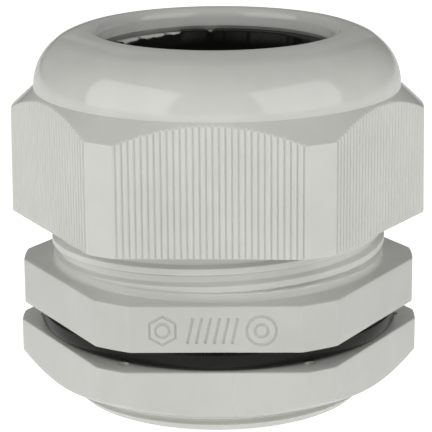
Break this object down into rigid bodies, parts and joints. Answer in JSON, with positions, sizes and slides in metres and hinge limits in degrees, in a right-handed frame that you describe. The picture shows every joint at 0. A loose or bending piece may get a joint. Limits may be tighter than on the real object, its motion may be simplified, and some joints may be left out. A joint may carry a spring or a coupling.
{
  "type": "cable gland",
  "caption": "Grey plastic cable gland: hexagon body with a threaded entry, locknut and rubber gasket, and a ribbed dome nut that closes a ring of claws and a black seal on the cable.",
  "frame": {"origin": "on the axis, in the plane of the entry thread's end face, the lowest point of the gland", "axes": "+Z along the axis from the entry thread towards the dome nut; -Y out of one hexagon flat"},
  "size_m": [0.0668, 0.0608, 0.0595],
  "materials": {
    "body_polyamide": "satin injection-moulded light grey",
    "nut_polyamide": "satin injection-moulded light grey",
    "claw_polyamide": "plain moulded light grey",
    "locknut_polyamide": "satin injection-moulded light grey",
    "seal_elastomer": "soft black elastomer",
    "gasket_rubber": "matt black rubber"
  },
  "bodies": {
    "gland_body": {"gland_body": "body_polyamide"},
    "seal_ring": {"seal_ring": "seal_elastomer"},
    "dome_nut": {"dome_nut": "nut_polyamide"},
    "claw_cage": {"claw_cage": "claw_polyamide"},
    "finger_01": {"clamp_finger_01": "claw_polyamide"},
    "finger_02": {"clamp_finger_02": "claw_polyamide"},
    "finger_03": {"clamp_finger_03": "claw_polyamide"},
    "finger_04": {"clamp_finger_04": "claw_polyamide"},
    "finger_05": {"clamp_finger_05": "claw_polyamide"},
    "finger_06": {"clamp_finger_06": "claw_polyamide"},
    "finger_07": {"clamp_finger_07": "claw_polyamide"},
    "finger_08": {"clamp_finger_08": "claw_polyamide"},
    "finger_09": {"clamp_finger_09": "claw_polyamide"},
    "finger_10": {"clamp_finger_10": "claw_polyamide"},
    "finger_11": {"clamp_finger_11": "claw_polyamide"},
    "finger_12": {"clamp_finger_12": "claw_polyamide"},
    "finger_13": {"clamp_finger_13": "claw_polyamide"},
    "finger_14": {"clamp_finger_14": "claw_polyamide"},
    "finger_15": {"clamp_finger_15": "claw_polyamide"},
    "finger_16": {"clamp_finger_16": "claw_polyamide"},
    "finger_17": {"clamp_finger_17": "claw_polyamide"},
    "finger_18": {"clamp_finger_18": "claw_polyamide"},
    "finger_19": {"clamp_finger_19": "claw_polyamide"},
    "finger_20": {"clamp_finger_20": "claw_polyamide"},
    "gasket": {"gasket": "gasket_rubber"},
    "locknut": {"locknut": "locknut_polyamide"}
  },
  "joints": [
    {"name": "nut_turn", "type": "hinge", "parent": "gland_body", "child": "seal_ring", "pos_m": [0, 0, 0.0446], "axis": [0, 0, -1], "range_deg": [0, 462.86]},
    {"name": "nut_travel", "type": "slide", "parent": "seal_ring", "child": "dome_nut", "axis": [0, 0, -1], "range_m": [0, 0.00721], "deforming": ["seal_ring"]},
    {"name": "cage_travel", "type": "slide", "parent": "gland_body", "child": "claw_cage", "axis": [0, 0, -1], "range_m": [0, 0.00491]},
    {"name": "finger_01_fold", "type": "hinge", "parent": "claw_cage", "child": "finger_01", "pos_m": [0.02243, 0.00086, 0.0445], "axis": [0.0384, -0.9993, 0], "range_deg": [0, 10.05]},
    {"name": "finger_02_fold", "type": "hinge", "parent": "claw_cage", "child": "finger_02", "pos_m": [0.02107, 0.00775, 0.0445], "axis": [0.3453, -0.9385, 0], "range_deg": [0, 10.05]},
    {"name": "finger_03_fold", "type": "hinge", "parent": "claw_cage", "child": "finger_03", "pos_m": [0.01764, 0.01388, 0.0445], "axis": [0.6184, -0.7859, 0], "range_deg": [0, 10.05]},
    {"name": "finger_04_fold", "type": "hinge", "parent": "claw_cage", "child": "finger_04", "pos_m": [0.01249, 0.01866, 0.0445], "axis": [0.831, -0.5563, 0], "range_deg": [0, 10.05]},
    {"name": "finger_05_fold", "type": "hinge", "parent": "claw_cage", "child": "finger_05", "pos_m": [0.00611, 0.0216, 0.0445], "axis": [0.9622, -0.2723, 0], "range_deg": [0, 10.05]},
    {"name": "finger_06_fold", "type": "hinge", "parent": "claw_cage", "child": "finger_06", "pos_m": [-0.00086, 0.02243, 0.0445], "axis": [0.9993, 0.0384, 0], "range_deg": [0, 10.05]},
    {"name": "finger_07_fold", "type": "hinge", "parent": "claw_cage", "child": "finger_07", "pos_m": [-0.00775, 0.02107, 0.0445], "axis": [0.9385, 0.3453, 0], "range_deg": [0, 10.05]},
    {"name": "finger_08_fold", "type": "hinge", "parent": "claw_cage", "child": "finger_08", "pos_m": [-0.01388, 0.01764, 0.0445], "axis": [0.7859, 0.6184, 0], "range_deg": [0, 10.05]},
    {"name": "finger_09_fold", "type": "hinge", "parent": "claw_cage", "child": "finger_09", "pos_m": [-0.01866, 0.01249, 0.0445], "axis": [0.5563, 0.831, 0], "range_deg": [0, 10.05]},
    {"name": "finger_10_fold", "type": "hinge", "parent": "claw_cage", "child": "finger_10", "pos_m": [-0.0216, 0.00611, 0.0445], "axis": [0.2723, 0.9622, 0], "range_deg": [0, 10.05]},
    {"name": "finger_11_fold", "type": "hinge", "parent": "claw_cage", "child": "finger_11", "pos_m": [-0.02243, -0.00086, 0.0445], "axis": [-0.0384, 0.9993, 0], "range_deg": [0, 10.05]},
    {"name": "finger_12_fold", "type": "hinge", "parent": "claw_cage", "child": "finger_12", "pos_m": [-0.02107, -0.00775, 0.0445], "axis": [-0.3453, 0.9385, 0], "range_deg": [0, 10.05]},
    {"name": "finger_13_fold", "type": "hinge", "parent": "claw_cage", "child": "finger_13", "pos_m": [-0.01764, -0.01388, 0.0445], "axis": [-0.6184, 0.7859, 0], "range_deg": [0, 10.05]},
    {"name": "finger_14_fold", "type": "hinge", "parent": "claw_cage", "child": "finger_14", "pos_m": [-0.01249, -0.01866, 0.0445], "axis": [-0.831, 0.5563, 0], "range_deg": [0, 10.05]},
    {"name": "finger_15_fold", "type": "hinge", "parent": "claw_cage", "child": "finger_15", "pos_m": [-0.00611, -0.0216, 0.0445], "axis": [-0.9622, 0.2723, 0], "range_deg": [0, 10.05]},
    {"name": "finger_16_fold", "type": "hinge", "parent": "claw_cage", "child": "finger_16", "pos_m": [0.00086, -0.02243, 0.0445], "axis": [-0.9993, -0.0384, 0], "range_deg": [0, 10.05]},
    {"name": "finger_17_fold", "type": "hinge", "parent": "claw_cage", "child": "finger_17", "pos_m": [0.00775, -0.02107, 0.0445], "axis": [-0.9385, -0.3453, 0], "range_deg": [0, 10.05]},
    {"name": "finger_18_fold", "type": "hinge", "parent": "claw_cage", "child": "finger_18", "pos_m": [0.01388, -0.01764, 0.0445], "axis": [-0.7859, -0.6184, 0], "range_deg": [0, 10.05]},
    {"name": "finger_19_fold", "type": "hinge", "parent": "claw_cage", "child": "finger_19", "pos_m": [0.01866, -0.01249, 0.0445], "axis": [-0.5563, -0.831, 0], "range_deg": [0, 10.05]},
    {"name": "finger_20_fold", "type": "hinge", "parent": "claw_cage", "child": "finger_20", "pos_m": [0.0216, -0.00611, 0.0445], "axis": [-0.2723, -0.9622, 0], "range_deg": [0, 10.05]},
    {"name": "locknut_turn", "type": "hinge", "parent": "gland_body", "child": "gasket", "pos_m": [0, 0, 0.0079], "axis": [0, 0, -1], "range_deg": [0, 2520]},
    {"name": "locknut_travel", "type": "slide", "parent": "gasket", "child": "locknut", "axis": [0, 0, -1], "range_m": [0, 0.01051]}
  ],
  "couplings": [
    {"joint": "nut_travel", "follows": "nut_turn", "m_per_rad": 0.00089127},
    {"joint": "cage_travel", "follows": "nut_turn", "m_per_rad": 0.00060656},
    {"joint": "finger_01_fold", "follows": "nut_turn", "ratio": 0.021605},
    {"joint": "finger_02_fold", "follows": "nut_turn", "ratio": 0.021605},
    {"joint": "finger_03_fold", "follows": "nut_turn", "ratio": 0.021605},
    {"joint": "finger_04_fold", "follows": "nut_turn", "ratio": 0.021605},
    {"joint": "finger_05_fold", "follows": "nut_turn", "ratio": 0.021605},
    {"joint": "finger_06_fold", "follows": "nut_turn", "ratio": 0.021605},
    {"joint": "finger_07_fold", "follows": "nut_turn", "ratio": 0.021605},
    {"joint": "finger_08_fold", "follows": "nut_turn", "ratio": 0.021605},
    {"joint": "finger_09_fold", "follows": "nut_turn", "ratio": 0.021605},
    {"joint": "finger_10_fold", "follows": "nut_turn", "ratio": 0.021605},
    {"joint": "finger_11_fold", "follows": "nut_turn", "ratio": 0.021605},
    {"joint": "finger_12_fold", "follows": "nut_turn", "ratio": 0.021605},
    {"joint": "finger_13_fold", "follows": "nut_turn", "ratio": 0.021605},
    {"joint": "finger_14_fold", "follows": "nut_turn", "ratio": 0.021605},
    {"joint": "finger_15_fold", "follows": "nut_turn", "ratio": 0.021605},
    {"joint": "finger_16_fold", "follows": "nut_turn", "ratio": 0.021605},
    {"joint": "finger_17_fold", "follows": "nut_turn", "ratio": 0.021605},
    {"joint": "finger_18_fold", "follows": "nut_turn", "ratio": 0.021605},
    {"joint": "finger_19_fold", "follows": "nut_turn", "ratio": 0.021605},
    {"joint": "finger_20_fold", "follows": "nut_turn", "ratio": 0.021605},
    {"joint": "locknut_travel", "follows": "locknut_turn", "m_per_rad": 0.00023873}
  ]
}
